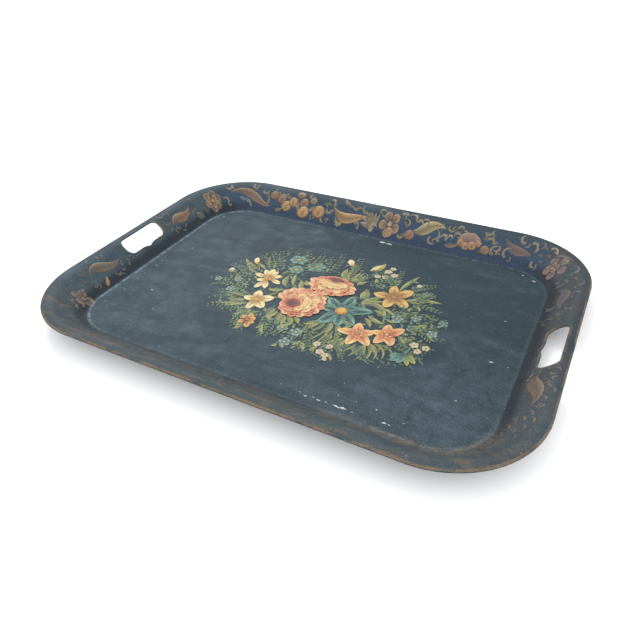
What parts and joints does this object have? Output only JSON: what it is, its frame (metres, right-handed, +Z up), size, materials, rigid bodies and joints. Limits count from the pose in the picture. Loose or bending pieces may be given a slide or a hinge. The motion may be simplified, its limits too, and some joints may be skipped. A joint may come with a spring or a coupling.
{
  "type": "hand-painted metal serving tray",
  "caption": "Rounded rectangular serving tray pressed from sheet metal, with a sloping rim, wired edges and a hand hole at each end.",
  "frame": {"origin": "middle of the tray on the surface it stands on, which is the underside of its floor", "axes": "+X along the tray's length from the left hand hole to the right one, +Y across the tray towards its back, +Z up"},
  "size_m": [0.71, 0.513, 0.036],
  "materials": {
    "lacquered_sheet": "aged dark slate-blue lacquer with a painted bouquet and a worn bronze border",
    "edge_wire": "dull drawn iron wire"
  },
  "bodies": {
    "root": {"tray_pan": "lacquered_sheet", "rim_wire": "edge_wire", "left_grip_wire": "edge_wire", "right_grip_wire": "edge_wire"}
  },
  "joints": []
}
